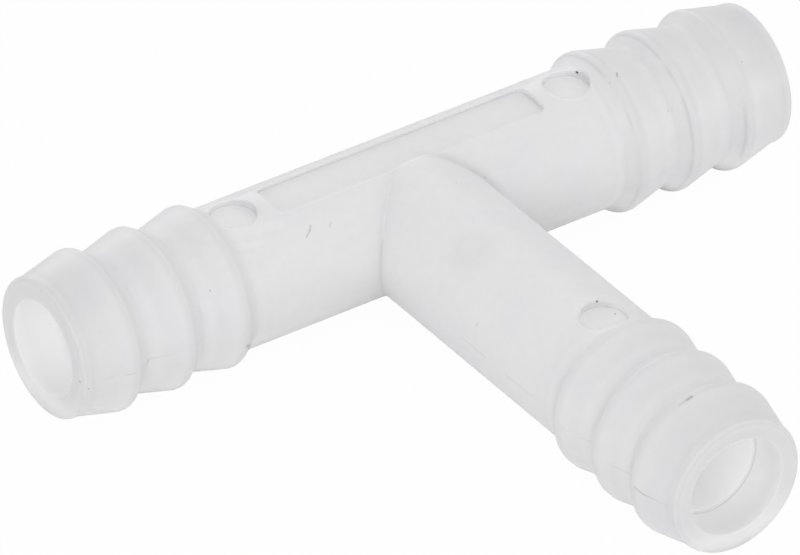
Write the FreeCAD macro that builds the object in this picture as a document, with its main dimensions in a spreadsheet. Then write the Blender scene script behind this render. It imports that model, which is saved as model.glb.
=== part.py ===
"""A hose tee moulded in one piece: a straight run with a branch in its middle, and three barbed ends.

The origin is where the axes of the run and the branch meet. X follows the run, the branch points
along -Y, and Z is up, square to the parting plane of the mould. All sizes are in millimetres.
"""

import FreeCAD, Part
import math
import os

import Sketcher

NODE = "hose_tee"
BARBS_PER_END = 3

# Each driving size is written once, with what it measures
DRIVING_SIZES = {
    "run_length": (91.2, "straight run, tip to tip"),
    "branch_reach": (61.65, "axis of the run to the tip of the branch"),
    "tube_diameter": (16.0, "plain outside of the run and of the branch"),
    "bore_diameter": (11.0, "passage through the run and the branch"),
    "crest_diameter": (18.15, "over the crests of the barbs"),
    "valley_diameter": (15.7, "foot of the first and second barb"),
    "nose_diameter": (15.9, "plain nose in front of the first barb"),
    "nose_length": (1.1, "tip to the start of the first ramp"),
    "nose_rounding": (0.4, "radius round the tip"),
    "first_crest": (6.35, "tip to the back of the first crest"),
    "barb_pitch": (6.95, "one crest to the next"),
    "crest_land": (0.45, "flat top of a crest, up to where its back would start"),
    "barb_drop": (1.65, "length of the steep back of a barb"),
    "shoulder_front": (0.12, "the slanted shoulder that breaks that corner, on the land"),
    "shoulder_back": (0.12, "the same shoulder, on the steep back"),
    "relief_diameter": (11.5, "wider mouth of the branch passage"),
    "relief_depth": (4.7, "depth of that wider mouth"),
    "plaque_length": (34.4, "sunk label field on top, along the run"),
    "plaque_width": (5.1, "the same field across the run"),
    "plaque_depth": (0.8, "its floor, below the top of the tube"),
    "plaque_corner": (1.0, "radius of its corners"),
    "mark_diameter": (5.1, "round ejector mark beside each third barb"),
    "mark_depth": (0.9, "its floor, below the top of the tube"),
    "mark_setback": (2.3, "foot of the third barb to the middle of the mark"),
    "ridge_height": (0.07, "parting ridge, above the plain tube"),
    "ridge_width": (0.2, "parting ridge, across the parting plane"),
}

doc = FreeCAD.newDocument("HoseTee")
sheet = doc.addObject("Spreadsheet::Sheet", "Sizes")
for row, (alias, (size, note)) in enumerate(DRIVING_SIZES.items(), start=1):
    sheet.set(f"A{row}", alias)
    sheet.set(f"B{row}", str(size))
    sheet.set(f"C{row}", note)
    sheet.setAlias(f"B{row}", alias)
doc.recompute()

# Lengths that several features share, as expressions on the sheet
RUN_REACH = "Sizes.run_length / 2"
BRANCH_REACH = "Sizes.branch_reach"
TUBE_RADIUS = "Sizes.tube_diameter / 2"
BORE_RADIUS = "Sizes.bore_diameter / 2"
CREST_RADIUS = "Sizes.crest_diameter / 2"
THIRD_CREST = f"(Sizes.first_crest + {BARBS_PER_END - 1} * Sizes.barb_pitch)"
THIRD_FOOT = f"({THIRD_CREST} + Sizes.barb_drop)"

body = doc.addObject("PartDesign::Body", "HoseTeeBody")
body.Label = NODE


def value(expression):
    """The size that an expression on the sheet gives."""
    return float(sheet.evalExpression(expression))


def origin_plane(role):
    """One of the body's own origin planes, by its role."""
    return next(feature for feature in body.Origin.OriginFeatures if feature.Role == role)


def new_sketch(name, role, quarter_turns=0, height=None):
    """A sketch on an origin plane, turned in that plane and raised above it by an expression."""
    sketch = body.newObject("Sketcher::SketchObject", name)
    sketch.AttachmentSupport = (origin_plane(role), [""])
    sketch.MapMode = "FlatFace"
    turn = FreeCAD.Rotation(FreeCAD.Vector(0, 0, 1), 90 * quarter_turns)
    sketch.AttachmentOffset = FreeCAD.Placement(FreeCAD.Vector(0, 0, 0), turn)
    if height is not None:
        sketch.setExpression(".AttachmentOffset.Base.z", height)
    return sketch


def hold(sketch, kind, geometry, end, expression):
    """Holds one end of an edge at a distance from the sketch's origin, or on its axis where that is nought."""
    if expression == "0":
        axis = -1 if kind == "DistanceY" else -2
        sketch.addConstraint(Sketcher.Constraint("PointOnObject", geometry, end, axis))
        return
    index = sketch.addConstraint(Sketcher.Constraint(kind, -1, 1, geometry, end, value(expression)))
    sketch.setExpression(f"Constraints[{index}]", expression)


def draw_outline(sketch, corners):
    """A closed outline in the sketch's first quarter, drawn anticlockwise from corners held by two distances.

    A corner may have a third value, the radius of an arc that rounds it.
    """
    points = [FreeCAD.Vector(value(corner[0]), value(corner[1]), 0) for corner in corners]
    count = len(points)
    arcs = {
        index: rounding_points(
            points[index - 1], points[index], points[(index + 1) % count], value(corner[2])
        )
        for index, corner in enumerate(corners)
        if len(corner) == 3
    }
    for index in range(count):
        following = (index + 1) % count
        start = arcs[index][2] if index in arcs else points[index]
        end = arcs[following][0] if following in arcs else points[following]
        sketch.addGeometry(Part.LineSegment(start, end))
    for index, (along, away, *radius) in enumerate(corners):
        before = (index - 1) % count
        if index not in arcs:
            sketch.addConstraint(Sketcher.Constraint("Coincident", before, 2, index, 1))
            hold(sketch, "DistanceX", index, 1, along)
            hold(sketch, "DistanceY", index, 1, away)
            continue
        arc = sketch.addGeometry(Part.Arc(*arcs[index]))
        meeting = sketch.addGeometry(Part.Point(points[index]), True)
        sketch.addConstraint(Sketcher.Constraint("PointOnObject", meeting, 1, before))
        sketch.addConstraint(Sketcher.Constraint("PointOnObject", meeting, 1, index))
        hold(sketch, "DistanceX", meeting, 1, along)
        hold(sketch, "DistanceY", meeting, 1, away)
        sketch.addConstraint(Sketcher.Constraint("Tangent", before, 2, arc, 1))
        sketch.addConstraint(Sketcher.Constraint("Tangent", arc, 2, index, 1))
        width = sketch.addConstraint(Sketcher.Constraint("Radius", arc, value(radius[0])))
        sketch.setExpression(f"Constraints[{width}]", radius[0])


def rounding_points(before, corner, after, radius):
    """Where an arc that rounds a corner between two others starts, has its middle and ends."""
    inwards = (before - corner).normalize()
    outwards = (after - corner).normalize()
    half_angle = inwards.getAngle(outwards) / 2
    tangent_length = radius / math.tan(half_angle)
    to_arc = radius / math.sin(half_angle) - radius
    return (
        corner + inwards * tangent_length,
        corner + (inwards + outwards).normalize() * to_arc,
        corner + outwards * tangent_length,
    )


def spigot_corners(reach):
    """Half the section of a barbed arm, from the middle of the tee out to its tip."""
    corners = [
        ("0", "0"),
        (reach, "0"),
        (reach, "Sizes.nose_diameter / 2", "Sizes.nose_rounding"),
        (f"{reach} - Sizes.nose_length", "Sizes.nose_diameter / 2"),
    ]
    for barb in range(BARBS_PER_END):
        back = f"{reach} - Sizes.first_crest - {barb} * Sizes.barb_pitch"
        foot_radius = TUBE_RADIUS if barb == BARBS_PER_END - 1 else "Sizes.valley_diameter / 2"
        fall = f"Sizes.shoulder_back * ({CREST_RADIUS} - {foot_radius}) / Sizes.barb_drop"
        corners.append((f"{back} + Sizes.crest_land", CREST_RADIUS))
        corners.append((f"{back} + Sizes.shoulder_front", CREST_RADIUS))
        corners.append((f"{back} - Sizes.shoulder_back", f"{CREST_RADIUS} - {fall}"))
        corners.append((f"{back} - Sizes.barb_drop", foot_radius))
    corners.append(("0", TUBE_RADIUS))
    return corners


def revolve(kind, name, sketch):
    """A full turn of a sketch about its own horizontal axis, added to or cut from the body."""
    feature = body.newObject(kind, name)
    feature.Profile = sketch
    feature.ReferenceAxis = (sketch, ["H_Axis"])
    feature.Angle = 360
    body.Tip = feature
    return feature


def pocket_upwards(name, sketch):
    """Cuts everything above a level sketch, which leaves a flat floor there."""
    feature = body.newObject("PartDesign::Pocket", name)
    feature.Profile = sketch
    feature.Type = "ThroughAll"
    feature.Reversed = True
    body.Tip = feature
    return feature


def round_edges(name, picked, radius):
    """Rounds the picked edges of the body as it stands, to a radius from the sheet."""
    base = body.Tip
    names = [f"Edge{index}" for index, edge in enumerate(base.Shape.Edges, start=1) if picked(edge)]
    feature = body.newObject("PartDesign::Fillet", name)
    feature.Base = (base, names)
    feature.setExpression("Radius", radius)
    body.Tip = feature
    doc.recompute()
    return len(names)


# The run: one barbed half turned about X, and its mirror image
run_sketch = new_sketch("RunProfile", "XY_Plane")
draw_outline(run_sketch, spigot_corners(RUN_REACH))
right_half = revolve("PartDesign::Revolution", "RunRightHalf", run_sketch)
doc.recompute()
left_half = body.newObject("PartDesign::Mirrored", "RunLeftHalf")
left_half.Originals = [right_half]
left_half.MirrorPlane = (origin_plane("YZ_Plane"), [""])
body.Tip = left_half
doc.recompute()

# The branch: the same section with a longer tube, turned about -Y
branch_sketch = new_sketch("BranchProfile", "YZ_Plane", quarter_turns=2)
draw_outline(branch_sketch, spigot_corners(BRANCH_REACH))
revolve("PartDesign::Revolution", "Branch", branch_sketch)
doc.recompute()

# The parting ridge: a thin level plate that stands a little proud of both tubes, as far as the
# barbs, inside which it ends
ridge_run = new_sketch("RidgeAlongRun", "XY_Plane")
ridge_branch = new_sketch("RidgeAlongBranch", "XY_Plane")
RIDGE_RADIUS = f"{TUBE_RADIUS} + Sizes.ridge_height"


def draw_rectangle(sketch, left, right, bottom, top):
    """A rectangle whose four sides stand at these distances from the sketch's origin."""
    x_low, x_high, y_low, y_high = -value(left), value(right), -value(bottom), value(top)
    points = [
        FreeCAD.Vector(x_low, y_low, 0),
        FreeCAD.Vector(x_high, y_low, 0),
        FreeCAD.Vector(x_high, y_high, 0),
        FreeCAD.Vector(x_low, y_high, 0),
    ]
    for index in range(4):
        sketch.addGeometry(Part.LineSegment(points[index], points[(index + 1) % 4]))
    for index in range(4):
        sketch.addConstraint(Sketcher.Constraint("Coincident", index, 2, (index + 1) % 4, 1))
    for index in (0, 2):
        sketch.addConstraint(Sketcher.Constraint("Horizontal", index))
        sketch.addConstraint(Sketcher.Constraint("Vertical", index + 1))
    hold(sketch, "DistanceX", 2, 1, right)
    hold(sketch, "DistanceY", 2, 1, top)
    for kind, expression in (("DistanceX", left), ("DistanceY", bottom)):
        if expression == "0":
            hold(sketch, kind, 0, 1, "0")
            continue
        span = Sketcher.Constraint(kind, 0, 1, -1, 1, value(expression))
        sketch.setExpression(f"Constraints[{sketch.addConstraint(span)}]", expression)


def pad_both_ways(name, sketch, thickness):
    """A plate centred on its sketch."""
    feature = body.newObject("PartDesign::Pad", name)
    feature.Profile = sketch
    feature.SideType = "Symmetric"
    feature.setExpression("Length", thickness)
    body.Tip = feature
    return feature


run_ridge_end = f"{RUN_REACH} - {THIRD_CREST}"
draw_rectangle(ridge_run, run_ridge_end, run_ridge_end, RIDGE_RADIUS, RIDGE_RADIUS)
pad_both_ways("RunRidge", ridge_run, "Sizes.ridge_width")
doc.recompute()
branch_ridge_end = f"{BRANCH_REACH} - {THIRD_CREST}"
draw_rectangle(ridge_branch, RIDGE_RADIUS, RIDGE_RADIUS, branch_ridge_end, "0")
pad_both_ways("BranchRidge", ridge_branch, "Sizes.ridge_width")
doc.recompute()

# The passages: straight through the run, and stepped at the mouth of the branch
run_bore_sketch = new_sketch("RunPassageProfile", "XY_Plane", quarter_turns=2)
draw_outline(
    run_bore_sketch,
    [("0", "0"), (RUN_REACH, "0"), (RUN_REACH, BORE_RADIUS), ("0", BORE_RADIUS)],
)
half_passage = revolve("PartDesign::Groove", "RunPassageRightHalf", run_bore_sketch)
doc.recompute()
other_passage = body.newObject("PartDesign::Mirrored", "RunPassageLeftHalf")
other_passage.Originals = [half_passage]
other_passage.MirrorPlane = (origin_plane("YZ_Plane"), [""])
body.Tip = other_passage
doc.recompute()
STEP_AT = f"{BRANCH_REACH} - Sizes.relief_depth"
branch_bore_sketch = new_sketch("BranchPassageProfile", "YZ_Plane", quarter_turns=2)
draw_outline(
    branch_bore_sketch,
    [
        ("0", "0"),
        (BRANCH_REACH, "0"),
        (BRANCH_REACH, "Sizes.relief_diameter / 2"),
        (STEP_AT, "Sizes.relief_diameter / 2"),
        (STEP_AT, BORE_RADIUS),
        ("0", BORE_RADIUS),
    ],
)
revolve("PartDesign::Groove", "BranchPassage", branch_bore_sketch)
doc.recompute()

# The label field: a level floor sunk into the top of the run, left blank
plaque_sketch = new_sketch("PlaqueOutline", "XY_Plane", height=f"{TUBE_RADIUS} - Sizes.plaque_depth")
half_long = "Sizes.plaque_length / 2"
half_wide = "Sizes.plaque_width / 2"
draw_rectangle(plaque_sketch, half_long, half_long, half_wide, half_wide)
pocket_upwards("Plaque", plaque_sketch)
doc.recompute()


def is_plaque_corner(edge):
    """Whether an edge is one of the upright corners of the label field."""
    if not isinstance(edge.Curve, Part.Line) or len(edge.Vertexes) != 2:
        return False
    low, high = (vertex.Point for vertex in edge.Vertexes)
    upright = abs(low.x - high.x) < 1e-6 and abs(low.y - high.y) < 1e-6
    return (
        upright
        and abs(abs(low.x) - value(half_long)) < 1e-4
        and abs(abs(low.y) - value(half_wide)) < 1e-4
    )


corners_rounded = round_edges("PlaqueCorners", is_plaque_corner, "Sizes.plaque_corner")
print(f"rounded {corners_rounded} corners of the label field")

# The ejector marks: three level discs, each just behind the third barb of its arm
marks_sketch = new_sketch("EjectorMarks", "XY_Plane", height=f"{TUBE_RADIUS} - Sizes.mark_depth")
mark_on_run = f"{RUN_REACH} - {THIRD_FOOT} - Sizes.mark_setback"
mark_on_branch = f"{BRANCH_REACH} - {THIRD_FOOT} - Sizes.mark_setback"
MARK_RADIUS = "Sizes.mark_diameter / 2"
for along, right, up in ((mark_on_run, 1, 0), (mark_on_run, -1, 0), (mark_on_branch, 0, -1)):
    offset = value(along)
    centre = FreeCAD.Vector(right * offset, up * offset, 0)
    circle = marks_sketch.addGeometry(
        Part.Circle(centre, FreeCAD.Vector(0, 0, 1), value(MARK_RADIUS))
    )
    marks_sketch.addConstraint(
        Sketcher.Constraint("PointOnObject", circle, 3, -1 if right else -2)
    )
    kind = "DistanceX" if right else "DistanceY"
    ends = (-1, 1, circle, 3) if right > 0 else (circle, 3, -1, 1)
    for constraint, expression in (
        (Sketcher.Constraint(kind, *ends, offset), along),
        (Sketcher.Constraint("Radius", circle, value(MARK_RADIUS)), MARK_RADIUS),
    ):
        index = marks_sketch.addConstraint(constraint)
        marks_sketch.setExpression(f"Constraints[{index}]", expression)
pocket_upwards("Marks", marks_sketch)
doc.recompute()

# Every feature has to be sound, and the tee one closed solid, before anything is written
for feature in doc.Objects:
    if {"Invalid", "Error"} & set(feature.State):
        raise RuntimeError(f"{feature.Name} did not build: {feature.State}")
shape = body.Shape
if shape.isNull() or not shape.isValid() or len(shape.Solids) != 1:
    raise RuntimeError("the tee is not one sound solid")
box = shape.optimalBoundingBox(False, False)
print(f"{body.Label}: {box.XLength:.2f} x {box.YLength:.2f} x {box.ZLength:.2f} mm, {shape.Volume:.1f} mm3")

os.makedirs("parts", exist_ok=True)
shape.exportStep(f"parts/{NODE}.step")
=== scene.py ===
"""A moulded hose tee of milky natural plastic, lying on a white sweep under soft light.

The frame is that of the solid model: the origin is where the axes of the run and the branch
meet, X follows the run, the branch points along -Y, and Z is up. Lengths are written in
millimetres and turned into metres where a mesh is made.
"""

import logging
import math
from dataclasses import dataclass, field
from enum import Enum
from typing import Any, Callable, Sequence, Union

import bpy
from mathutils import Matrix, Vector


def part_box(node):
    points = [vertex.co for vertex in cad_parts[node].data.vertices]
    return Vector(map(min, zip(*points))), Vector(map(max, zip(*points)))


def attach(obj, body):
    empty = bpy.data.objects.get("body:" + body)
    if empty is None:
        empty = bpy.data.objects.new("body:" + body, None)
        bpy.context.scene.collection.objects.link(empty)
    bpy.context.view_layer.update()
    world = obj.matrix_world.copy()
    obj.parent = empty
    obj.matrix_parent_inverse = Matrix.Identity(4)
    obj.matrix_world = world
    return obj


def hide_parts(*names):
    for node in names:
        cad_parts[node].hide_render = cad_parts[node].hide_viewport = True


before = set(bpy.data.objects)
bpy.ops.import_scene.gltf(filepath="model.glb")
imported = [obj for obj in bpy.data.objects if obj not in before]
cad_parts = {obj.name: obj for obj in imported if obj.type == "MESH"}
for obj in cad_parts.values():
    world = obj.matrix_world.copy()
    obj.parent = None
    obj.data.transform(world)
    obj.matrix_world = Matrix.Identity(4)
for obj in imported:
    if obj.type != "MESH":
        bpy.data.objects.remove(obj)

log = logging.getLogger("hose_tee")

MM = 0.001
NODE = "hose_tee"
WHITE = (1.0, 1.0, 1.0)

Operand = Union["Socket", float, Sequence[float]]
Point = tuple[float, float, float]
# Where a smooth step gives nought, and where it gives one.
Edge = tuple[float, float]
# Places from nought to one, each with a share.
Stops = tuple[tuple[float, float], ...]


# ---- Shader maths ------------------------------------------------


class Socket:
    """An output socket of a node tree, with Python's operators for numbers."""

    def __init__(self, shader: "Shader", socket: bpy.types.NodeSocket) -> None:
        """Keep the tree that the socket belongs to.

        Args:
            shader: The tree's builder.
            socket: The output socket itself.
        """
        self.shader = shader
        self.socket = socket

    def _math(self, operation: str, *operands: Operand) -> "Socket":
        """Add one Math node.

        Args:
            operation: The node's operation.
            *operands: Its inputs, in order.

        Returns:
            The node's value.
        """
        return self.shader.node(
            "ShaderNodeMath", {"operation": operation}, dict(enumerate(operands))
        )

    def __add__(self, other: Operand) -> "Socket":
        """The sum."""
        return self._math("ADD", self, other)

    def __radd__(self, other: Operand) -> "Socket":
        """The sum, with the number on the left."""
        return self._math("ADD", other, self)

    def __sub__(self, other: Operand) -> "Socket":
        """The difference."""
        return self._math("SUBTRACT", self, other)

    def __rsub__(self, other: Operand) -> "Socket":
        """The difference, with the number on the left."""
        return self._math("SUBTRACT", other, self)

    def __mul__(self, other: Operand) -> "Socket":
        """The product."""
        return self._math("MULTIPLY", self, other)

    def __rmul__(self, other: Operand) -> "Socket":
        """The product, with the number on the left."""
        return self._math("MULTIPLY", other, self)

    def __truediv__(self, other: Operand) -> "Socket":
        """The quotient."""
        return self._math("DIVIDE", self, other)

    def __abs__(self) -> "Socket":
        """The value without its sign."""
        return self._math("ABSOLUTE", self)

    def __pow__(self, other: Operand) -> "Socket":
        """The power."""
        return self._math("POWER", self, other)

    def whole(self) -> "Socket":
        """The value rounded down."""
        return self._math("FLOOR", self)

    def at_least(self, other: Operand) -> "Socket":
        """The larger of two values."""
        return self._math("MAXIMUM", self, other)

    def at_most(self, other: Operand) -> "Socket":
        """The smaller of two values."""
        return self._math("MINIMUM", self, other)

    def step(self, start: Operand, end: Operand) -> "Socket":
        """A smooth step over the value.

        Args:
            start: The value that gives nought.
            end: The value that gives one. It may be the smaller of the two.

        Returns:
            Nought to one.
        """
        return self.shader.node(
            "ShaderNodeMapRange",
            {"interpolation_type": "SMOOTHSTEP"},
            {"Value": self, "From Min": start, "From Max": end},
        )


class Shader:
    """The node tree of a material or of the world, built from expressions."""

    def __init__(self, owner: bpy.types.Material | bpy.types.World) -> None:
        """Empty the owner's tree.

        Args:
            owner: The material or the world.
        """
        self.owner = owner
        self.owner.use_nodes = True
        self.tree = owner.node_tree
        self.tree.nodes.clear()

    def node(
        self,
        kind: str,
        settings: dict[str, Any] | None = None,
        inputs: dict[int | str, Operand] | None = None,
        output: int | str = 0,
    ) -> Socket:
        """Add a node of any type.

        Args:
            kind: The node's type.
            settings: Its own settings, set first, such as the stops of a ramp.
            inputs: Values or sockets for its inputs, by name or number.
            output: The output that is wanted, by name or number.

        Returns:
            That output.
        """
        node = self.tree.nodes.new(kind)
        for key, setting in (settings or {}).items():
            if key == "stops":
                self._set_stops(node.color_ramp, setting)
            else:
                setattr(node, key, setting)
        for key, operand in (inputs or {}).items():
            self.feed(node, key, operand)
        return Socket(self, node.outputs[output])

    def feed(self, node: bpy.types.Node, key: int | str, operand: Operand) -> None:
        """Give one input of a node its value or its link.

        Args:
            node: The node.
            key: The input's name or number.
            operand: A socket, a number, or several numbers.
        """
        target = node.inputs[key]
        if isinstance(operand, Socket):
            self.tree.links.new(operand.socket, target)
        elif isinstance(operand, (int, float)) and hasattr(target.default_value, "__len__"):
            target.default_value = [operand] * len(target.default_value)
        else:
            target.default_value = operand

    @staticmethod
    def _set_stops(
        ramp: bpy.types.ColorRamp, stops: Sequence[tuple[float, Sequence[float]]]
    ) -> None:
        """Fill a colour ramp.

        Args:
            ramp: The ramp.
            stops: Places along it, each with its colour.
        """
        while len(ramp.elements) < len(stops):
            ramp.elements.new(0.5)
        for element, (place, colour) in zip(ramp.elements, stops):
            element.position = place
            element.color = (*colour, 1.0)

    def vector(self, operation: str, inputs: dict[int | str, Operand]) -> Socket:
        """Add a Vector Math node.

        Args:
            operation: What it works out.
            inputs: Its inputs, by name or number.

        Returns:
            The number or the vector that it gives.
        """
        output = "Value" if operation in ("DISTANCE", "DOT_PRODUCT") else "Vector"
        return self.node("ShaderNodeVectorMath", {"operation": operation}, inputs, output)

    def object_point(self) -> Socket:
        """The point of the surface in the object's own coordinates, in metres."""
        return self.node("ShaderNodeTexCoord", output="Object")

    def axes(self, point: Socket) -> tuple[Socket, ...]:
        """Split a point into its coordinates.

        Args:
            point: The point, in metres.

        Returns:
            X, Y and Z, in millimetres.
        """
        return tuple(
            self.node("ShaderNodeSeparateXYZ", inputs={0: point}, output=index) / MM
            for index in range(3)
        )

    def noise(self, point: Socket, size_mm: float, detail: float) -> Socket:
        """Smooth noise about 0.5.

        Args:
            point: Where it is read, in metres.
            size_mm: The size of its patches.
            detail: How many finer layers it has.

        Returns:
            The noise, nought to one.
        """
        scaled = self.vector("MULTIPLY", {0: point, 1: 1.0 / (size_mm * MM)})
        return self.node(
            "ShaderNodeTexNoise", inputs={"Vector": scaled, "Scale": 1.0, "Detail": detail}
        )

    def ramp(self, place: Socket, stops: Stops) -> Socket:
        """A share that changes with a place.

        Args:
            place: The place, nought to one.
            stops: Places, each with its share.

        Returns:
            The share.
        """
        greys = [(at, (share,) * 3) for at, share in stops]
        return self.node("ShaderNodeValToRGB", {"stops": greys}, {0: place})

    def toned(self, colour: Operand, share: Socket) -> Socket:
        """A colour of which a share stays."""
        return self.vector("SCALE", {0: colour, "Scale": share})

    def mix(self, share: Operand, first: Operand, second: Operand) -> Socket:
        """A blend of two colours.

        Args:
            share: The second colour's share.
            first: The colour at nought.
            second: The colour at one.

        Returns:
            The colour.
        """
        inputs = {0: share, 6: first, 7: second}
        return self.node("ShaderNodeMix", {"data_type": "RGBA"}, inputs, output=2)

    def bump(self, height_mm: Socket) -> Socket:
        """The normal of a skin that rises by a height."""
        return self.node(
            "ShaderNodeBump", inputs={"Height": height_mm, "Distance": MM, "Strength": 1.0}
        )

    def finish(self, surface: Socket) -> None:
        """Link the surface to the output of the material or the world.

        Args:
            surface: The shader.
        """
        kind = "World" if isinstance(self.owner, bpy.types.World) else "Material"
        self.feed(self.tree.nodes.new(f"ShaderNodeOutput{kind}"), "Surface", surface)


# ---- The finish of the plastic -----------------------------------


@dataclass(frozen=True)
class Reading:
    """What the finish reads at a point of the skin. Lengths are in millimetres.

    Attributes:
        tee: The sizes of the tee.
        shader: The material's builder.
        point: The point itself, in metres.
        x: Along the run.
        y: Across the run, and against the branch.
        z: Upwards.
        from_run: The distance from the axis of the run.
        from_branch: The distance from the axis of the branch.
        from_tip: The distance from the tip of the arm, along it.
        clouds: Noise for the melt's soft clouds.
        dents: Noise for shallow dents.
        spots: Noise for small spots.
        grain: Noise for the mould's grain.
    """

    tee: "MouldedTee"
    shader: Shader
    point: Socket
    x: Socket
    y: Socket
    z: Socket
    from_run: Socket
    from_branch: Socket
    from_tip: Socket
    clouds: Socket
    dents: Socket
    spots: Socket
    grain: Socket

    @classmethod
    def take(cls, shader: Shader, tee: "MouldedTee") -> "Reading":
        """Set up the coordinates, the distances and the noises.

        Args:
            shader: The material's builder.
            tee: The sizes of the tee.

        Returns:
            The reading.
        """
        point = shader.object_point()
        x, y, z = shader.axes(point)
        return cls(
            tee=tee,
            shader=shader,
            point=point,
            x=x,
            y=y,
            z=z,
            from_run=(y * y + z * z) ** 0.5,
            from_branch=(x * x + z * z) ** 0.5,
            from_tip=(tee.run_half - abs(x)).at_most(tee.branch_reach + y),
            clouds=shader.noise(point, size_mm=7.0, detail=3.0),
            dents=shader.noise(point, size_mm=3.2, detail=2.0),
            spots=shader.noise(point, size_mm=1.1, detail=3.0),
            grain=shader.noise(point, size_mm=0.35, detail=2.0),
        )


class Tone:
    """What changes the tone of the skin from place to place."""

    def share(self, at: Reading) -> Socket:
        """The share of the tone that stays at a point."""
        raise NotImplementedError


@dataclass(frozen=True)
class Flaw(Tone):
    """A speck caught in the plastic, a scar in its skin, a patch of painted shade or a
    streak of painted highlight.

    Attributes:
        start: One end of it, in millimetres.
        radius: Its radius, in millimetres.
        depth: How dark it is, nought to one, or how pale, below nought, as in a painted
            highlight.
        end: Its other end. A round flaw has none.
        core: The part of its radius that is flat, before it fades.
    """

    start: Point
    radius: float
    depth: float
    end: Point | None = None
    core: float = 0.3

    def share(self, at: Reading) -> Socket:
        """The share of the skin's tone that stays."""
        return 1.0 - self._mask(at) * self.depth

    def _mask(self, at: Reading) -> Socket:
        """Where the flaw is.

        Args:
            at: The point.

        Returns:
            One in its middle and nought outside.
        """
        vector = at.shader.vector
        start = tuple(part * MM for part in self.start)
        if self.end is None:
            away = vector("DISTANCE", {0: at.point, 1: start})
        else:
            axis = tuple(last * MM - first for last, first in zip(self.end, start))
            from_start = vector("SUBTRACT", {0: at.point, 1: start})
            along = vector("DOT_PRODUCT", {0: from_start, 1: axis})
            share = (along / sum(part * part for part in axis)).at_least(0.0).at_most(1.0)
            nearest = vector("SCALE", {0: axis, "Scale": share})
            away = vector("DISTANCE", {0: from_start, 1: nearest})
        return away.step(self.radius * MM, self.radius * self.core * MM)


SPECKS = (
    Flaw((23.67, 1.16, 7.76), 0.24, 0.90),
    Flaw((0.85, -35.05, 7.84), 0.20, 0.80),
    Flaw((1.70, -37.12, 7.10), 0.15, 0.60),
    Flaw((-28.93, -6.78, 4.76), 0.13, 0.45),
    Flaw((-45.60, 0.09, 7.31), 0.16, 0.35),
    Flaw((-45.09, -7.92, -0.73), 0.15, 0.40),
    Flaw((6.60, -6.24, 5.00), 0.18, 0.22),
    Flaw((1.17, -8.74, 7.91), 0.12, 0.30),
    Flaw((-7.59, -25.22, 2.51), 0.15, 0.22),
    Flaw((40.23, -5.94, 6.69), 0.13, 0.25),
    Flaw((30.15, -6.53, 4.58), 0.14, 0.22),
    Flaw((-2.10, -57.20, -5.20), 0.40, 0.14),
)
SCRATCHES = (
    Flaw((26.40, -2.35, 8.63), 0.12, 0.45, (26.05, -2.86, 8.50)),
    Flaw((24.95, -3.05, 8.30), 0.11, 0.25, (24.65, -3.50, 8.15)),
    Flaw((-45.60, -7.01, -0.11), 0.17, 0.35, (-45.60, -7.20, -0.11)),
    Flaw((-14.80, -4.78, 6.41), 0.13, 0.24, (-15.15, -5.20, 6.10)),
    Flaw((-15.15, -5.20, 6.10), 0.13, 0.22, (-15.83, -5.57, 5.74)),
    Flaw((-12.45, -5.15, 6.10), 0.15, 0.14, (-12.80, -5.45, 5.85)),
    Flaw((-3.35, -55.92, 8.35), 0.15, 0.14, (-2.50, -55.93, 8.70)),
    Flaw((-2.40, -55.93, 8.72), 0.22, 0.34, (-1.80, -55.91, 8.86)),
    Flaw((-24.58, -7.58, -4.01), 0.35, 0.35, (-25.50, -8.60, -2.50)),
)
TRACES_OF_PARTING = (
    Flaw((-41.80, -8.75, -0.15), 0.16, 0.12, (-39.85, -9.00, -0.15)),
    Flaw((-38.60, -8.20, -0.80), 0.30, 0.12, (-37.60, -7.90, -0.20)),
    Flaw((-9.02, -55.90, 0.30), 0.20, 0.16, (-8.78, -57.20, -0.05)),
    Flaw((-8.78, -57.20, -0.05), 0.18, 0.16, (-8.10, -60.60, 0.15)),
    Flaw((-8.05, -23.00, -0.20), 0.15, 0.10, (-8.05, -27.50, -0.25)),
    Flaw((-8.05, -31.00, -0.30), 0.15, 0.10, (-8.05, -36.00, -0.30)),
)
# Painted shade and painted highlight: a soft patch of painted shade on the top of the
# branch near the run, and two paler streaks of painted highlight on the left arm.
PAINTED_SHADE_AND_HIGHLIGHTS = (
    Flaw((-4.00, -18.70, 6.90), 4.20, 0.030),
    Flaw((-25.50, -2.50, 7.60), 0.90, -0.030, (-18.00, -3.60, 7.10)),
    Flaw((-24.50, -4.20, 6.80), 0.60, -0.025, (-21.00, -4.60, 6.50)),
)


@dataclass(frozen=True)
class EndPaintedShade(Tone):
    """Painted shade on the arms: the tone is painted darker towards their tips, and darker
    again on the outer edge of each tip.

    Attributes:
        reach: The length that the stops are spread over, from the tip inwards.
        stops: The share that stays along it.
        edge: The outer edge of the tip, from the tip inwards.
        edge_radius: The same, from the axis outwards.
        edge_painted_shade: What the edge loses.
    """

    reach: float = 25.0
    stops: Stops = (
        (0.0, 0.845), (0.03, 0.85), (0.08, 0.90), (0.2, 0.935), (0.6, 0.955),
        (0.85, 0.965), (0.95, 1.0),
    )
    edge: Edge = (0.7, 0.3)
    edge_radius: Edge = (7.2, 7.6)
    edge_painted_shade: float = 0.07

    def share(self, at: Reading) -> Socket:
        """Work out the share of the tone that stays.

        Args:
            at: The point.

        Returns:
            The share.
        """
        away = at.from_run.at_most(at.from_branch)
        edge = at.from_tip.step(*self.edge) * away.step(*self.edge_radius)
        return at.shader.ramp(at.from_tip / self.reach, self.stops) * (
            1.0 - edge * self.edge_painted_shade
        )


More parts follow.
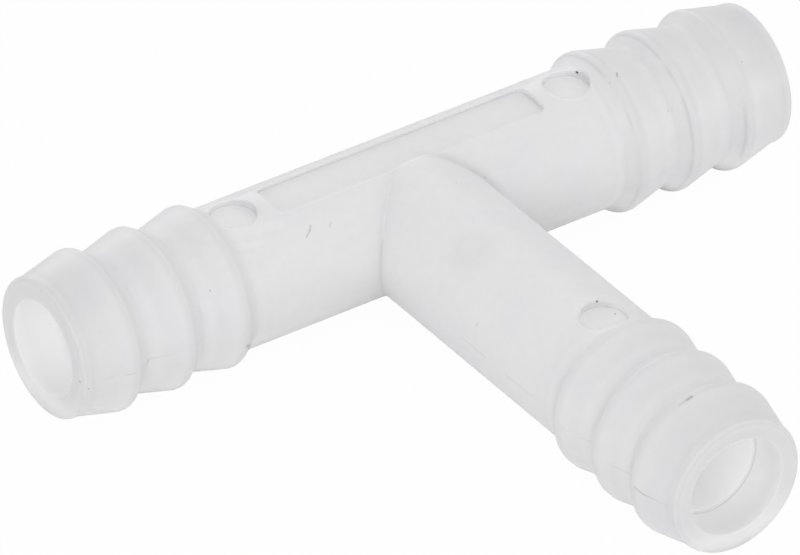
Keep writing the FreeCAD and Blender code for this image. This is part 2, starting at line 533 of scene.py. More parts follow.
@dataclass(frozen=True)
class BarbPaintedShading(Tone):
    """Painted light and shade on the barbs: the feet between the crests are painted paler,
    the crests darker, and on the right arm a broken line of painted shade runs behind each
    crest.

    Attributes:
        stops: The share that stays, from one crest to the next.
        plain: The share among them that stands for no change.
        root: Where the barbs end, from the tip inwards.
        nose: Where they begin.
        line_start: The dark line behind a crest, from one crest to the next.
        line_end: Where it ends.
        line_arm: The arm that has it, along the run.
        line_breaks: Where the clouds break it.
        line_painted_shade: What it loses.
    """

    stops: Stops = (
        (0.0, 0.885), (0.05, 0.91), (0.12, 0.95), (0.2, 0.98), (0.42, 0.985),
        (0.55, 0.95), (0.84, 0.95), (0.91, 0.90), (0.95, 0.885), (1.0, 0.885),
    )
    plain: float = 0.95
    root: Edge = (23.5, 22.5)
    nose: Edge = (4.5, 6.0)
    line_start: Edge = (0.03, 0.05)
    line_end: Edge = (0.09, 0.07)
    line_arm: Edge = (20.0, 21.0)
    line_breaks: Edge = (0.40, 0.55)
    line_painted_shade: float = 0.09

    def share(self, at: Reading) -> Socket:
        """Work out the share of the tone that stays.

        Args:
            at: The point.

        Returns:
            The share, which is one on the plain tubes and the noses.
        """
        barb = at.tee.barb
        pitches = (at.from_tip - barb.first_crest + barb.pitch) / barb.pitch
        past_crest = pitches - pitches.whole()
        ripple = at.shader.ramp(past_crest, self.stops) / self.plain
        barbed = at.from_tip.step(*self.root) * at.from_tip.step(*self.nose)
        line = past_crest.step(*self.line_start) * past_crest.step(*self.line_end)
        line = line * at.x.step(*self.line_arm) * at.clouds.step(*self.line_breaks)
        return (1.0 + (ripple - 1.0) * barbed) * (1.0 - line * barbed * self.line_painted_shade)


@dataclass(frozen=True)
class LowSidePaintedLight(Tone):
    """Painted light on the lower sides: they are painted paler towards the bottom, less so
    at the very bottom.

    Attributes:
        flank: Where the sides begin, downwards.
        flank_share: Their share of the gain.
        low: Where the lower sides begin, downwards.
        bottom: Where the gain is back in full, upwards from the bottom.
        bottom_share: The share of the gain that stays below that.
        gain: What the lower sides gain.
    """

    flank: Edge = (-1.5, -4.5)
    flank_share: float = 0.5
    low: Edge = (-3.8, -6.2)
    bottom: Edge = (-9.0, -6.8)
    bottom_share: float = 0.3
    gain: float = 0.14

    def share(self, at: Reading) -> Socket:
        """Work out the share of the tone that stays.

        Args:
            at: The point.

        Returns:
            The share, which is one on the upper sides.
        """
        side = at.z.step(*self.flank) * self.flank_share + at.z.step(*self.low)
        fade = self.bottom_share + at.z.step(*self.bottom) * (1.0 - self.bottom_share)
        return 1.0 + side * fade * self.gain


@dataclass(frozen=True)
class PlaquePaintedShading(Tone):
    """Painted shade and light in and round the label field: painted shade on its rim and on
    the strip beyond it, and painted light on its floor.

    Attributes:
        top: The height above which the tone applies.
        rim: The rim, by the distance from the outline.
        rim_painted_shade: What the rim loses.
        floor: The floor, by the distance from the outline.
        floor_gain: The painted light that the floor gains.
        beyond_start: The strip beyond the field, across the run.
        beyond_end: Where it ends.
        beyond_ends: Its two ends, from the middle of the run.
        beyond_painted_shade: What it loses.
    """

    top: Edge = (6.5, 6.8)
    rim: Edge = (0.18, 0.06)
    rim_painted_shade: float = 0.09
    floor: Edge = (-0.02, -0.10)
    floor_gain: float = 0.03
    beyond_start: Edge = (2.4, 2.7)
    beyond_end: Edge = (6.0, 4.5)
    beyond_ends: Edge = (21.0, 18.0)
    beyond_painted_shade: float = 0.06

    def share(self, at: Reading) -> Socket:
        """Work out the share of the tone that stays.

        Args:
            at: The point.

        Returns:
            The share.
        """
        tee = at.tee
        corner = tee.plaque_corner
        long = abs(at.x) - (tee.plaque_length / 2 - corner)
        wide = abs(at.y) - (tee.plaque_width / 2 - corner)
        past_corner = (long.at_least(0.0) ** 2.0 + wide.at_least(0.0) ** 2.0) ** 0.5
        out = past_corner + long.at_least(wide).at_most(0.0) - corner
        top = at.z.step(*self.top)
        rim = abs(out).step(*self.rim) * top
        floor = out.step(*self.floor) * top
        beyond = at.y.step(*self.beyond_start) * at.y.step(*self.beyond_end) * top
        beyond = beyond * abs(at.x).step(*self.beyond_ends)
        return (1.0 - rim * self.rim_painted_shade) * (
            1.0 - beyond * self.beyond_painted_shade + floor * self.floor_gain
        )


@dataclass(frozen=True)
class MarkPaintedShading(Tone):
    """Painted shade and light at the ejector marks: painted shade on the rim and the wall,
    and painted light on the floor.

    Attributes:
        rim_start: The rim, by the distance from the circle.
        rim_end: Where it ends, outwards.
        rim_top: The height above which it applies.
        rim_painted_shade: What the rim loses.
        wall: The wall, by the distance from the circle.
        wall_top: The height above which it applies.
        wall_painted_shade: What the wall loses.
        floor: The floor, by the distance from the circle.
        floor_top: The height above which it applies.
        floor_gain: The painted light that the floor gains.
    """

    rim_start: Edge = (-0.04, 0.0)
    rim_end: Edge = (0.18, 0.06)
    rim_top: Edge = (7.3, 7.5)
    rim_painted_shade: float = 0.09
    wall: Edge = (0.16, 0.05)
    wall_top: Edge = (6.8, 7.0)
    wall_painted_shade: float = 0.05
    floor: Edge = (-0.02, -0.08)
    floor_top: Edge = (6.5, 6.8)
    floor_gain: float = 0.12

    def share(self, at: Reading) -> Socket:
        """Work out the share of the tone that stays.

        Args:
            at: The point.

        Returns:
            The share, which is one away from the marks.
        """
        tee = at.tee
        along_run, along_branch = abs(at.x) - tee.mark_on_run, at.y + tee.mark_on_branch
        from_run_marks = (along_run * along_run + at.y * at.y) ** 0.5
        from_branch_mark = (at.x * at.x + along_branch * along_branch) ** 0.5
        out = from_run_marks.at_most(from_branch_mark) - tee.mark_radius
        rim = out.step(*self.rim_start) * out.step(*self.rim_end) * at.z.step(*self.rim_top)
        wall = abs(out).step(*self.wall) * at.z.step(*self.wall_top)
        floor = out.step(*self.floor) * at.z.step(*self.floor_top)
        tone = (1.0 - rim * self.rim_painted_shade) * (1.0 + floor * self.floor_gain)
        return tone * (1.0 - wall * self.wall_painted_shade)


@dataclass(frozen=True)
class SeamPaintedShading(Tone):
    """Painted shade and highlight at the mitres: a soft band of painted shade on the right,
    and on the left a fine line, painted highlight above and painted shade below.

    Attributes:
        band: The band on the right, by the distance from its middle.
        band_shift: How far its middle is off the mitre.
        band_start: Where it begins, along the run.
        band_top: The height above which it applies.
        band_painted_shade: What it loses.
        line: The line on the left, by the distance from the mitre.
        line_start: Where it begins, along the run.
        line_top: The height above which it is pale.
        line_painted_highlight: What it gains there.
        line_low: The height below which it is dark.
        line_painted_shade: What it loses there.
    """

    band: Edge = (1.6, 0.5)
    band_shift: float = 0.25
    band_start: Edge = (0.5, 2.0)
    band_top: Edge = (0.0, 2.0)
    band_painted_shade: float = 0.07
    line: Edge = (0.28, 0.08)
    line_start: Edge = (-3.0, -4.0)
    line_top: Edge = (3.0, 4.0)
    line_painted_highlight: float = 0.04
    line_low: Edge = (3.5, 2.5)
    line_painted_shade: float = 0.05

    def share(self, at: Reading) -> Socket:
        """Work out the share of the tone that stays.

        Args:
            at: The point.

        Returns:
            The share.
        """
        band = abs(at.x + at.y + self.band_shift).step(*self.band)
        band = band * at.x.step(*self.band_start) * at.z.step(*self.band_top)
        line = abs(at.x - at.y).step(*self.line) * at.x.step(*self.line_start)
        pale = line * at.z.step(*self.line_top)
        dark = line * at.z.step(*self.line_low)
        tone = (1.0 - band * self.band_painted_shade) * (1.0 + pale * self.line_painted_highlight)
        return tone * (1.0 - dark * self.line_painted_shade)


@dataclass(frozen=True)
class PartingTrace:
    """The fine trace of the parting line along the plain tubes.

    Attributes:
        width: The trace, by the height from the parting plane.
        waver: How far the clouds push it up and down.
        breaks: Where the dents break it.
        root: Where it begins, from the tip inwards.
        left: The side that has it, along the run.
    """

    width: Edge = (0.13, 0.03)
    waver: float = 0.4
    breaks: Edge = (0.5, 0.6)
    root: Edge = (22.5, 22.0)
    left: Edge = (12.0, 10.0)

    def mask(self, at: Reading) -> Socket:
        """Where the trace is.

        Args:
            at: The point.

        Returns:
            One on the trace and nought elsewhere.
        """
        trace = (abs(at.z) + (at.clouds - 0.5) * self.waver).step(*self.width)
        trace = trace * at.dents.step(*self.breaks)
        return trace * at.from_tip.step(*self.root) * at.x.step(*self.left)


@dataclass(frozen=True)
class Passages:
    """The passages, with painted light and shade: paler than the skin and given a painted
    glow deeper in, and painted shade near the mouths and along the step of the branch's
    wider mouth.

    Attributes:
        colour: Their colour, linear, painted paler than the skin's.
        reach: The length that the stops are spread over, from the tip inwards.
        stops: The share of the colour that stays along it, lower near the mouth as painted
            shade.
        glows: The painted glow added along it, linear.
        wall: Their wall, by the distance beyond its radius.
        branch: Where the mouth of the branch counts, across the run.
        shallow: The wider mouth, by the distance past its step.
        shallow_painted_shade: What it loses.
        step_line: The line along the step, by the distance from it.
        step_painted_shade: What the line loses.
    """

    colour: Point = (0.86, 0.86, 0.865)
    reach: float = 25.0
    stops: Stops = ((0.0, 0.80), (0.03, 0.83), (0.12, 0.91), (0.18, 0.97), (0.22, 1.0))
    glows: Stops = ((0.0, 0.08), (0.03, 0.10), (0.12, 0.149), (0.18, 0.157), (0.22, 0.115))
    wall: Edge = (0.04, 0.01)
    branch: Edge = (-4.0, -5.0)
    shallow: Edge = (0.2, -0.2)
    shallow_painted_shade: float = 0.08
    step_line: Edge = (0.16, 0.06)
    step_painted_shade: float = 0.18

    def _branch_mask(self, at: Reading) -> Socket:
        """Where the wall of the branch's mouth is."""
        out = at.from_branch - at.tee.relief_radius
        return out.step(*self.wall) * at.y.step(*self.branch)

    def mask(self, at: Reading) -> Socket:
        """Where the passages are.

        Args:
            at: The point.

        Returns:
            One on their walls and nought elsewhere.
        """
        run = (at.from_run - at.tee.bore_radius).step(*self.wall)
        return run.at_least(self._branch_mask(at))

    def toned_colour(self, at: Reading) -> Socket:
        """Work out the colour of the walls.

        Args:
            at: The point.

        Returns:
            The colour.
        """
        past_step = at.from_tip - at.tee.relief_depth
        loss = past_step.step(*self.shallow) * self.shallow_painted_shade
        loss = loss + abs(past_step).step(*self.step_line) * self.step_painted_shade
        tone = at.shader.ramp(at.from_tip / self.reach, self.stops)
        return at.shader.toned(self.colour, tone * (1.0 - self._branch_mask(at) * loss))

    def painted_glow(self, at: Reading) -> Socket:
        """The painted glow of the walls."""
        return at.shader.ramp(at.from_tip / self.reach, self.glows)


@dataclass(frozen=True)
class NaturalPlastic:
    """Milky natural plastic as it comes from the mould, slightly translucent and satin.

    Attributes:
        tee: The sizes of the tee that it dresses.
        colour: Its colour in clean places, linear.
        cloud: Its colour where the melt is a little bluer, linear.
        cloud_edge: Where a cloud begins in the noise.
        mottling: How much the small spots change the tone.
        parting_loss: What the trace of the parting line loses.
        roughness: Its usual roughness.
        cloud_roughness: How much the clouds change it.
        grain_roughness: How much the grain changes it.
        grain_height: The height of the grain, in millimetres.
        dent_height: The height of the dents.
        parting_height: The height of the trace of the parting line.
        refraction: Its index of refraction.
        translucency: The share of light that goes under the skin.
        reach_mm: How far that light travels.
        passages: The finish inside, with painted light, painted shade and a painted glow.
        parting: The trace of the parting line.
        tones: The painted light and shade that change the tone of the skin from place to
            place.
        flaws: Its specks, scratches and traces, and its patches of painted shade and
            painted highlight.
    """

    tee: "MouldedTee"
    colour: Point = (0.80, 0.80, 0.80)
    cloud: Point = (0.793, 0.787, 0.807)
    cloud_edge: Edge = (0.48, 0.66)
    mottling: float = 0.05
    parting_loss: float = 0.06
    roughness: float = 0.40
    cloud_roughness: float = 0.10
    grain_roughness: float = 0.06
    grain_height: float = 0.006
    dent_height: float = 0.018
    parting_height: float = 0.02
    refraction: float = 1.5
    translucency: float = 1.0
    reach_mm: float = 4.0
    passages: Passages = Passages()
    parting: PartingTrace = PartingTrace()
    tones: tuple[Tone, ...] = (
        EndPaintedShade(),
        BarbPaintedShading(),
        LowSidePaintedLight(),
        PlaquePaintedShading(),
        MarkPaintedShading(),
        SeamPaintedShading(),
    )
    flaws: tuple[Flaw, ...] = (*SPECKS, *SCRATCHES, *TRACES_OF_PARTING, *PAINTED_SHADE_AND_HIGHLIGHTS)

    def material(self) -> bpy.types.Material:
        """Build the node material.

        Returns:
            The material.
        """
        shader = Shader(bpy.data.materials.new("natural plastic"))
        at = Reading.take(shader, self.tee)
        inside = self.passages.mask(at)
        parting = self.parting.mask(at) * (1.0 - inside)

        tone = 1.0 + (at.spots - 0.5) * self.mottling
        tone = tone * (1.0 - parting * self.parting_loss)
        # The tones are painted light and shade. The flaws are real specks, scratches and
        # parting traces, plus a few patches of painted shade and painted highlight.
        for part in (*self.tones, *self.flaws):
            tone = tone * part.share(at)
        cloudy = at.clouds.step(*self.cloud_edge)
        skin = shader.mix(cloudy, (*self.colour, 1.0), (*self.cloud, 1.0))
        skin = shader.toned(skin, tone)
        colour = shader.mix(inside, skin, self.passages.toned_colour(at))

        dull = (at.clouds - 0.5) * self.cloud_roughness
        dull = dull + (at.grain - 0.5) * self.grain_roughness
        height = at.grain * self.grain_height + at.dents * self.dent_height
        surface = shader.node(
            "ShaderNodeBsdfPrincipled",
            inputs={
                "Base Color": colour,
                "Roughness": self.roughness + dull,
                "Normal": shader.bump(height + parting * self.parting_height),
                "IOR": self.refraction,
                "Subsurface Weight": self.translucency,
                "Subsurface Radius": WHITE,
                "Subsurface Scale": self.reach_mm * MM,
                # A painted glow on the walls of the passages.
                "Emission Color": shader.toned(WHITE, self.passages.painted_glow(at) * inside),
                "Emission Strength": 1.0,
            },
        )
        shader.finish(surface)
        return shader.owner


@dataclass(frozen=True)
class WhiteSweep:
    """The matt white paper under the tee, which the camera sees as plain white.

    Attributes:
        colour: Its colour, linear.
        roughness: Its roughness.
        gloss: Its specular level.
        shown: How much of the white the camera sees as it is, and the rest with its shadow.
    """

    colour: Point = (0.92, 0.92, 0.92)
    roughness: float = 0.9
    gloss: float = 0.1
    shown: float = 0.97

    def material(self) -> bpy.types.Material:
        """Build the node material.

        Returns:
            The material.
        """
        shader = Shader(bpy.data.materials.new("white sweep"))
        paper = shader.node(
            "ShaderNodeBsdfPrincipled",
            inputs={
                "Base Color": (*self.colour, 1.0),
                "Roughness": self.roughness,
                "Specular IOR Level": self.gloss,
            },
        )
        white = shader.node(
            "ShaderNodeEmission", inputs={"Color": (*WHITE, 1.0), "Strength": 1.0}
        )
        seen = shader.node("ShaderNodeLightPath", output="Is Camera Ray") * self.shown
        blend = shader.node("ShaderNodeMixShader", inputs={0: seen, 1: paper, 2: white})
        shader.finish(blend)
        return shader.owner


# ---- Mesh helpers ------------------------------------------------


def deselect_objects() -> None:
    """Deselect every object."""
    bpy.ops.object.select_all(action="DESELECT")


def activate(piece: bpy.types.Object, *others: bpy.types.Object) -> None:
    """Select one piece, and others with it, and make it the active one.

    Args:
        piece: The active piece.
        *others: Pieces selected with it.
    """
    deselect_objects()
    for item in (piece, *others):
        item.select_set(True)
    bpy.context.view_layer.objects.active = piece


def edit_edges(piece: bpy.types.Object, wanted: Callable[[Vector, Vector], bool]) -> None:
    """Go to edit mode with the edges that pass a test selected, and nothing else.

    Args:
        piece: The active piece, in object mode.
        wanted: The test on the places of an edge's two ends, in millimetres.
    """
    bpy.ops.object.mode_set(mode="EDIT")
    bpy.ops.mesh.select_mode(type="EDGE")
    bpy.ops.mesh.select_all(action="DESELECT")
    bpy.ops.object.mode_set(mode="OBJECT")
    vertices = piece.data.vertices
    for edge in piece.data.edges:
        edge.select = wanted(*(vertices[index].co / MM for index in edge.vertices))
    bpy.ops.object.mode_set(mode="EDIT")


def merge_doubles(gap_mm: float) -> None:
    """Merge the vertices of the piece in edit mode that lie within a gap.

    Args:
        gap_mm: The gap.
    """
    bpy.ops.mesh.select_all(action="SELECT")
    bpy.ops.mesh.remove_doubles(threshold=gap_mm * MM)


# ---- The tee -----------------------------------------------------


class Arm(Enum):
    """The three arms, each with the turn about Z that takes it from +X to its place."""

    RIGHT = 0
    BRANCH = -90
    LEFT = 180


# The planes that cut the root of each arm: the side that a normal points away from goes.
MITRES = {
    Arm.RIGHT: ((1, 1, 0),),
    Arm.LEFT: ((-1, 1, 0),),
    Arm.BRANCH: ((-1, -1, 0), (1, -1, 0)),
}


@dataclass(frozen=True)
class Barb:
    """Sizes that all the barbs share, in millimetres.

    Attributes:
        count: How many an arm has.
        first_crest: The tip to the back of the first crest.
        pitch: One crest to the next.
        land: The flat top of a crest.
        drop: The length of a steep back.
        crest_rounding: The radius of both corners of a crest.
        foot_rounding: The radius of the hollow at the foot of a back.
        crest_radius: The crests, from the axis.
        valley_radius: The feet of all but the last barb, from the axis.
    """

    count: int = 3
    first_crest: float = 6.35
    pitch: float = 6.95
    land: float = 0.45
    drop: float = 1.65
    crest_rounding: float = 0.5
    foot_rounding: float = 0.85
    crest_radius: float = 9.075
    valley_radius: float = 7.85


@dataclass(frozen=True)
class Corner:
    """A corner of a section, in millimetres.

    Attributes:
        along: Its place along the arm.
        away: Its distance from the arm's axis.
        rounding: The radius that rounds it, or nought.
        parts: How many straight parts stand for that arc.
    """

    along: float
    away: float
    rounding: float = 0.0
    parts: int = 3

    def points(self, before: "Corner", after: "Corner") -> list[tuple[float, float]]:
        """The corner itself, or the arc that rounds it.

        Args:
            before: The corner before it.
            after: The corner after it.

        Returns:
            Places along the arm, each with its distance from the axis.
        """
        if not self.rounding:
            return [(self.along, self.away)]
        here = Vector((self.along, self.away))
        inwards = (Vector((before.along, before.away)) - here).normalized()
        outwards = (Vector((after.along, after.away)) - here).normalized()
        half = inwards.angle(outwards) / 2
        centre = here + (inwards + outwards).normalized() * self.rounding / math.sin(half)
        start = here + inwards * self.rounding / math.tan(half) - centre
        end = here + outwards * self.rounding / math.tan(half) - centre
        sweep = math.pi - 2 * half
        arc = []
        for part in range(self.parts + 1):
            turn = sweep * part / self.parts
            ray = (start * math.sin(sweep - turn) + end * math.sin(turn)) / math.sin(sweep)
            arc.append(tuple(centre + ray))
        return arc


@dataclass
class MouldedTee:
    """The one moulding: a run, a branch of the same size, and three barbed ends.

    Sizes are in millimetres.

    Attributes:
        run_half: The middle of the tee to the tip of the run.
        branch_reach: The middle of the tee to the tip of the branch.
        tube_radius: The plain outside.
        bore_radius: The passages.
        nose_radius: The plain nose before the first barb.
        nose_length: Its length.
        nose_rounding: The radius round the tip.
        nose_foot_rounding: The radius where the nose meets the first barb.
        mouth_rounding: The radius at the edge of a passage.
        seam_rounding: The width of the rounding along the mitres, from each side.
        seam_top: The height at which that rounding ends.
        seam_gap: How far a vertex of a mitre may be off it.
        relief_radius: The wider mouth of the branch.
        relief_depth: Its depth.
        plaque_length: The label field, along the run.
        plaque_width: The label field, across the run.
        plaque_floor: The height of its floor.
        plaque_corner: The radius of its corners.
        mark_radius: The ejector marks.
        mark_floor: The height of their floors.
        mark_on_run: The middle of the tee to the marks on the run.
        mark_on_branch: The middle of the tee to the mark on the branch.
        plaque_cutter_height: The block that cuts the label field.
        mark_cutter_height: The cylinders that cut the marks.
        barb: The sizes of a barb.
        steps: Flat sides around a full turn of an arm.
        mark_steps: Flat sides around a mark.
        plaque_corner_parts: Flat sides around a corner of the label field.
        seam_parts: Flat sides across the rounding of a mitre.
        spin_gap: The gap that is closed after an arm is turned.
        mitre_gap: The gap that is closed where the arms meet.
        sliver_gap: The gap that is closed after the fields are cut.
        smooth_angle: The sharpest edge that is shaded smooth, in degrees.
    """

    run_half: float = 45.6
    branch_reach: float = 61.65
    tube_radius: float = 8.0
    bore_radius: float = 5.5
    nose_radius: float = 7.95
    nose_length: float = 1.1
    nose_rounding: float = 0.4
    nose_foot_rounding: float = 1.0
    mouth_rounding: float = 0.2
    seam_rounding: float = 0.35
    seam_top: float = 7.3
    seam_gap: float = 0.01
    relief_radius: float = 5.75
    relief_depth: float = 4.7
    plaque_length: float = 34.4
    plaque_width: float = 5.1
    plaque_floor: float = 7.2
    plaque_corner: float = 1.0
    mark_radius: float = 2.55
    mark_floor: float = 7.1
    mark_on_run: float = 21.4
    mark_on_branch: float = 37.45
    plaque_cutter_height: float = 4.0
    mark_cutter_height: float = 6.0
    barb: Barb = field(default_factory=Barb)
    steps: int = 240
    mark_steps: int = 96
    plaque_corner_parts: int = 8
    seam_parts: int = 5
    spin_gap: float = 0.002
    mitre_gap: float = 0.004
    sliver_gap: float = 0.001
    smooth_angle: float = 28.0

    def build(self) -> bpy.types.Object:
        """Model the moulding.

        Returns:
            The finished mesh object, at the origin.
        """
        arms = [self._arm(arm) for arm in Arm]
        tee = self._join(arms)
        self._round_seams(tee)
        self._sink_fields(tee)
        activate(tee)
        bpy.ops.object.shade_smooth_by_angle(angle=math.radians(self.smooth_angle))
        tee.name = "moulded_tee"
        return tee

    def dress(self, tee: bpy.types.Object) -> None:
        """Give the moulding its finish.

        Args:
            tee: The finished mesh object.
        """
        tee.data.materials.clear()
        tee.data.materials.append(NaturalPlastic(self).material())

    def _outline(self, arm: Arm) -> list[tuple[float, float]]:
        """Half the section of an arm, from its root round the tip and back inside.

        Args:
            arm: Which arm. The mouth of the branch is wider for a short way.

        Returns:
            Places along the arm, each with its distance from the axis.
        """
        barb = self.barb
        reach = self.branch_reach if arm is Arm.BRANCH else self.run_half
        corners = [Corner(0.0, self.tube_radius)]
        for index in reversed(range(barb.count)):
            back = reach - barb.first_crest - index * barb.pitch
            last = index == barb.count - 1
            foot = self.tube_radius if last else barb.valley_radius
            corners += [
                Corner(back - barb.drop, foot, barb.foot_rounding, parts=6),
                Corner(back, barb.crest_radius, barb.crest_rounding, parts=6),
                Corner(back + barb.land, barb.crest_radius, barb.crest_rounding),
            ]
        corners += [
            Corner(reach - self.nose_length, self.nose_radius, self.nose_foot_rounding),
            Corner(reach, self.nose_radius, self.nose_rounding, parts=8),
        ]
        if arm is Arm.BRANCH:
            corners += [
                Corner(reach, self.relief_radius, self.mouth_rounding),
                Corner(reach - self.relief_depth, self.relief_radius),
                Corner(reach - self.relief_depth, self.bore_radius),
            ]
        else:
            corners.append(Corner(reach, self.bore_radius, self.mouth_rounding))
        corners.append(Corner(0.0, self.bore_radius))
        points = [(0.0, self.tube_radius)]
        for before, corner, after in zip(corners, corners[1:], corners[2:]):
            points += corner.points(before, after)
        return [*points, (0.0, self.bore_radius)]

    def _arm(self, arm: Arm) -> bpy.types.Object:
        """Turn one arm, swing it to its place and cut its root on the mitres.

        Args:
            arm: Which arm.

        Returns:
            The arm, open at its root.
        """
        outline = self._outline(arm)
        deselect_objects()
        bpy.ops.mesh.primitive_plane_add(size=MM, location=(0, 0, 0))
        piece = bpy.context.object
        bpy.ops.object.mode_set(mode="EDIT")
        bpy.ops.mesh.select_all(action="SELECT")
        bpy.ops.mesh.merge(type="CENTER")
        along, away = outline[0]
        bpy.ops.transform.translate(value=(along * MM, 0, away * MM))
        for (x0, r0), (x1, r1) in zip(outline, outline[1:]):
            bpy.ops.mesh.extrude_region_move(
                TRANSFORM_OT_translate={"value": ((x1 - x0) * MM, 0, (r1 - r0) * MM)}
            )
        bpy.ops.mesh.select_all(action="SELECT")
        bpy.ops.mesh.spin(
            steps=self.steps, angle=math.tau, center=(0, 0, 0), axis=(1, 0, 0)
        )
        merge_doubles(self.spin_gap)
        bpy.ops.object.mode_set(mode="OBJECT")
        piece.rotation_euler = (0, 0, math.radians(arm.value))
        bpy.ops.object.transform_apply(location=True, rotation=True, scale=True)
        bpy.ops.object.mode_set(mode="EDIT")
        for normal in MITRES[arm]:
            bpy.ops.mesh.select_all(action="SELECT")
            bpy.ops.mesh.bisect(
                plane_co=(0, 0, 0),
                plane_no=Vector(normal).normalized(),
                clear_inner=True,
                threshold=1e-7,
            )
        bpy.ops.object.mode_set(mode="OBJECT")
        piece.name = f"arm_{arm.name.lower()}"
        return piece

    def _join(self, arms: Sequence[bpy.types.Object]) -> bpy.types.Object:
        """Join the arms along their mitres into one closed skin.

        Args:
            arms: The three arms.

        Returns:
            The joined piece.
        """
        activate(*arms)
        bpy.ops.object.join()
        tee = bpy.context.object
        bpy.ops.object.mode_set(mode="EDIT")
        merge_doubles(self.mitre_gap)
        bpy.ops.mesh.normals_make_consistent(inside=False)
        bpy.ops.object.mode_set(mode="OBJECT")
        return tee

    def _round_seams(self, tee: bpy.types.Object) -> None:
        """Round the outer mitres, except near their tops and bottoms, where they fade out.

        Args:
            tee: The closed skin.
        """

        wall_middle = (self.bore_radius + self.tube_radius) / 2

        def on_seam(*ends: Vector) -> bool:
            """Whether all ends lie on a mitre, outside and between its top and bottom."""
            return all(
                abs(abs(end.x) + end.y) < self.seam_gap
                and abs(end.z) < self.seam_top
                and math.hypot(end.y, end.z) > wall_middle
                for end in ends
            )

        activate(tee)
        edit_edges(tee, on_seam)
        width = self.seam_rounding * MM
        bpy.ops.mesh.bevel(offset=width, segments=self.seam_parts, affect="EDGES")
        bpy.ops.object.mode_set(mode="OBJECT")

    def _sink_fields(self, tee: bpy.types.Object) -> None:
        """Cut the label field and the three ejector marks.

        Args:
            tee: The closed skin.
        """
        places = (
            (self.mark_on_run, 0.0),
            (-self.mark_on_run, 0.0),
            (0.0, -self.mark_on_branch),
        )
        for cutter in (self._plaque_cutter(), *(self._mark_cutter(*at) for at in places)):
            activate(tee)
            cut = tee.modifiers.new("sink", "BOOLEAN")
            cut.operation = "DIFFERENCE"
            cut.solver = "EXACT"
            cut.object = cutter
            bpy.ops.object.modifier_apply(modifier=cut.name)
            bpy.data.objects.remove(cutter, do_unlink=True)
        bpy.ops.object.mode_set(mode="EDIT")
        merge_doubles(self.sliver_gap)
        bpy.ops.object.mode_set(mode="OBJECT")

    def _mark_cutter(self, x: float, y: float) -> bpy.types.Object:
        """The cylinder that cuts an ejector mark.

        Args:
            x: The place of its middle along the run.
            y: The same across the run.

        Returns:
            The cutter.
        """
        height = self.mark_cutter_height
        deselect_objects()
        bpy.ops.mesh.primitive_cylinder_add(
            vertices=self.mark_steps,
            radius=self.mark_radius * MM,
            depth=height * MM,
            location=(x * MM, y * MM, (self.mark_floor + height / 2) * MM),
        )
        return bpy.context.object

    def _plaque_cutter(self) -> bpy.types.Object:
        """The block that cuts the label field, with its upright corners rounded.

        Returns:
            The cutter.
        """
        height = self.plaque_cutter_height
        deselect_objects()
        bpy.ops.mesh.primitive_cube_add(
            size=1.0, location=(0, 0, (self.plaque_floor + height / 2) * MM)
        )
        cutter = bpy.context.object
        cutter.scale = (self.plaque_length * MM, self.plaque_width * MM, height * MM)
        bpy.ops.object.transform_apply(location=True, rotation=True, scale=True)
        edit_edges(cutter, lambda low, high: (low.xy - high.xy).length < self.sliver_gap)
        corner = self.plaque_corner * MM
        bpy.ops.mesh.bevel(offset=corner, segments=self.plaque_corner_parts, affect="EDGES")
        bpy.ops.object.mode_set(mode="OBJECT")
        return cutter


# ---- The studio and the camera -----------------------------------


@dataclass(frozen=True)
class Softbox:
    """A square soft light that faces the tee.

    Attributes:
        name: Its name.
        towards: Where it stands, seen from the tee.
        side: Its side, in metres.
        power: Its power, in watts.
        distance: How far it stands, in metres.
    """

    name: str
    towards: Point
    side: float
    power: float
    distance: float = 0.9

    def add(self) -> bpy.types.Object:
        """Put the light in the scene.

        Returns:
            The light.
        """
        direction = Vector(self.towards).normalized()
        deselect_objects()
        bpy.ops.object.light_add(type="AREA", location=direction * self.distance)
        light = bpy.context.object
        light.name = self.name
        light.data.shape = "SQUARE"
        light.data.size = self.side
        light.data.energy = self.power
        light.rotation_euler = direction.to_track_quat("Z", "Y").to_euler()
        return light


@dataclass
class Studio:
    """A white sweep, a bright room and soft lights.

    Attributes:
        floor_side: The side of the sweep, in metres.
        room: The strength of the light from all round.
        lights: The soft lights.
    """

    floor_side: float = 4.0
    room: float = 0.655
    lights: tuple[Softbox, ...] = (
        Softbox("softbox_above", (0.468, -0.036, 0.887), 0.6, 0.45),
        Softbox("softbox_front", (-0.20, -0.97, 0.12), 0.3, 0.58),
        Softbox("softbox_left", (-0.97, -0.10, 0.14), 0.3, 0.57),
        Softbox("softbox_right", (0.75, -0.65, 0.12), 0.3, 0.52),
        Softbox("softbox_back", (0.25, 0.90, 0.35), 0.6, 1.33),
        Softbox("softbox_by_the_camera", (-0.465, -0.676, 0.572), 0.6, 1.56),
    )

    def build(self, lowest: float) -> bpy.types.Object:
        """Lay the sweep, light the room and put up the lights.

        Args:
            lowest: The height that the tee rests at, in metres.

        Returns:
            The sweep.
        """
        deselect_objects()
        bpy.ops.mesh.primitive_plane_add(size=self.floor_side, location=(0, 0, lowest))
        sweep = bpy.context.object
        bpy.ops.object.transform_apply(location=True, rotation=True, scale=True)
        sweep.name = "white_sweep"
        sweep.data.materials.append(WhiteSweep().material())
        for light in self.lights:
            light.add()
        self._light_room()
        return sweep

    def _light_room(self) -> None:
        """Light the room evenly, and show the camera plain white."""
        bpy.context.scene.world = bpy.data.worlds.new("bright room")
        shader = Shader(bpy.context.scene.world)
        kind, colour = "ShaderNodeBackground", (*WHITE, 1.0)
        room = shader.node(kind, inputs={"Color": colour, "Strength": self.room})
        white = shader.node(kind, inputs={"Color": colour, "Strength": 1.0})
        seen = shader.node("ShaderNodeLightPath", output="Is Camera Ray")
        blend = shader.node("ShaderNodeMixShader", inputs={0: seen, 1: room, 2: white})
        shader.finish(blend)


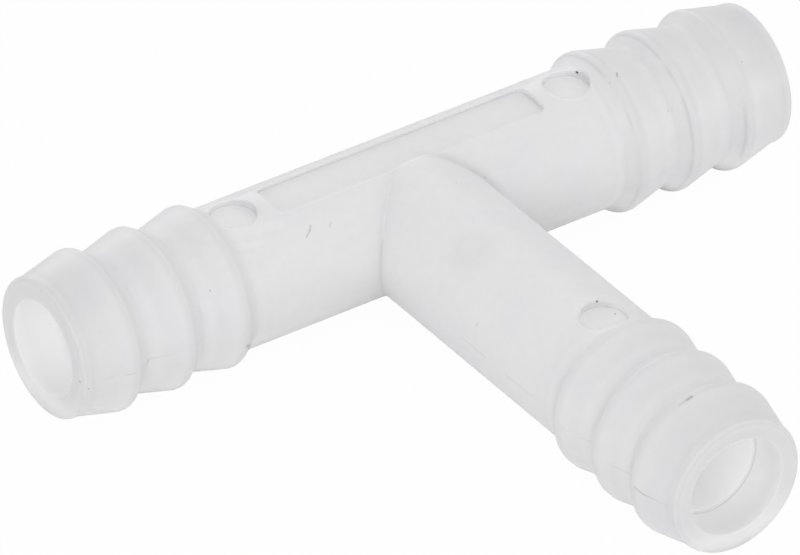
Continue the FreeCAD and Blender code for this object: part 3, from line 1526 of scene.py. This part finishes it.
@dataclass(frozen=True)
class PhotoCamera:
    """The camera of the photograph: far off, with a long lens.

    Attributes:
        azimuth: Its turn about Z, in degrees. Nought looks along +Y.
        elevation: Its height above the horizon, in degrees.
        distance_mm: Its distance from the tee.
        width: The picture's width, in pixels.
        height: The picture's height, in pixels.
        focal_pixels: Its focal length, in pixels.
        pixels_per_mm: The scale of the picture at the tee.
        origin_right: Where the tee's origin is in the picture, from the left, in pixels.
        origin_down: The same from the top.
        sensor: The width of its sensor, in millimetres.
        farthest: The farthest that it sees, in metres.
    """

    azimuth: float = -34.5394
    elevation: float = 34.8815
    distance_mm: float = 1824.09
    width: float = 800.0
    height: float = 555.0
    focal_pixels: float = 17172.05
    pixels_per_mm: float = 9.4140
    origin_right: float = 400.3607
    origin_down: float = 208.8246
    sensor: float = 36.0
    farthest: float = 20.0

    def add(self) -> bpy.types.Object:
        """Put the camera in the scene.

        Returns:
            The camera.
        """
        turn, rise = math.radians(self.azimuth), math.radians(self.elevation)
        level = math.cos(rise)
        back = Vector((math.sin(turn) * level, -math.cos(turn) * level, math.sin(rise)))
        right = Vector((math.cos(turn), math.sin(turn), 0))
        up = back.cross(right)
        aim_right = (self.width / 2 - self.origin_right) / self.pixels_per_mm
        aim_up = (self.origin_down - self.height / 2) / self.pixels_per_mm
        aim = (right * aim_right + up * aim_up) * MM
        deselect_objects()
        bpy.ops.object.camera_add(location=aim + back * self.distance_mm * MM)
        camera = bpy.context.object
        camera.name = "photo_camera"
        camera.rotation_euler = Matrix((right, up, back)).transposed().to_euler()
        camera.data.sensor_width = self.sensor
        camera.data.lens = self.focal_pixels / self.width * self.sensor
        camera.data.clip_end = self.farthest
        bpy.context.scene.camera = camera
        return camera


def main() -> None:
    """Build the tee, the studio and the camera."""
    logging.basicConfig(level=logging.INFO, format="%(name)s: %(message)s")
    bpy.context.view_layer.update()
    low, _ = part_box(NODE)

    moulding = MouldedTee()
    tee = moulding.build()
    moulding.dress(tee)
    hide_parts(NODE)
    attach(tee, "root")
    mesh = tee.data
    log.info("%s: %d vertices, %d faces", tee.name, len(mesh.vertices), len(mesh.polygons))

    sweep = Studio().build(low[2])
    log.info("%s laid at %.2f mm", sweep.name, low[2] / MM)

    camera = PhotoCamera().add()
    log.info("%s with a lens of %.0f mm", camera.name, camera.data.lens)

    bpy.context.scene.view_settings.view_transform = "Standard"


if __name__ == "__main__":
    main()
